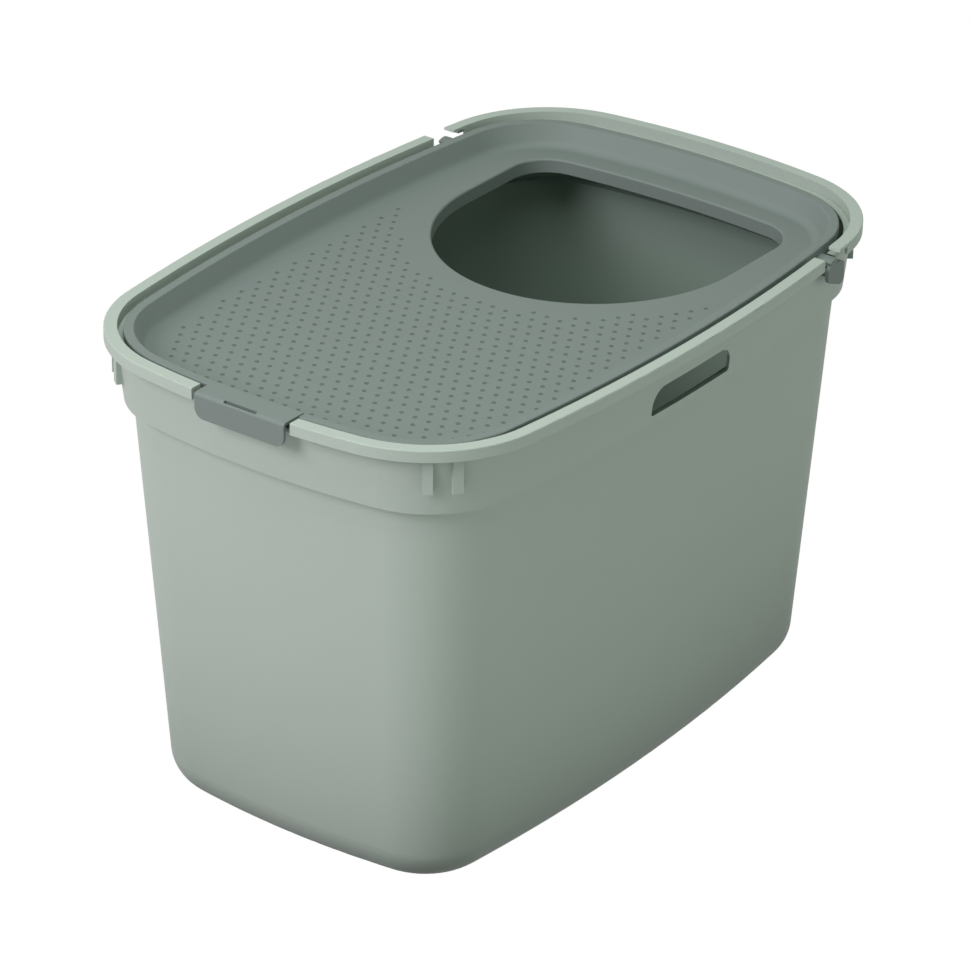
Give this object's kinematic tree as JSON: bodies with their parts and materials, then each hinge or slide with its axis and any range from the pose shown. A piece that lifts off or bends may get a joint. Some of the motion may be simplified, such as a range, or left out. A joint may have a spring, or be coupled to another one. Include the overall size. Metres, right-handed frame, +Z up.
{
  "type": "top entry litter box",
  "caption": "Tapered litter tub with a dished, hinged lid; the pet enters through a D-shaped hole in the lid, which latches at one end and lifts on side pins.",
  "frame": {"origin": "middle of the tub's flat underside, on the floor", "axes": "+Z up; +Y towards the hinge end with the entry hole; -Y is the latch end; X runs across the box"},
  "size_m": [0.39, 0.5904, 0.38],
  "materials": {
    "tub_plastic": "fine satin moulding",
    "lid_plastic": "fine satin moulding"
  },
  "bodies": {
    "tub": {"tub": "tub_plastic"},
    "lid": {"lid": "lid_plastic"}
  },
  "joints": [
    {"name": "lid_hinge", "type": "hinge", "parent": "tub", "child": "lid", "pos_m": [0, 0.181, 0.3605], "axis": [-1, 0, 0], "range_deg": [0, 56]}
  ]
}
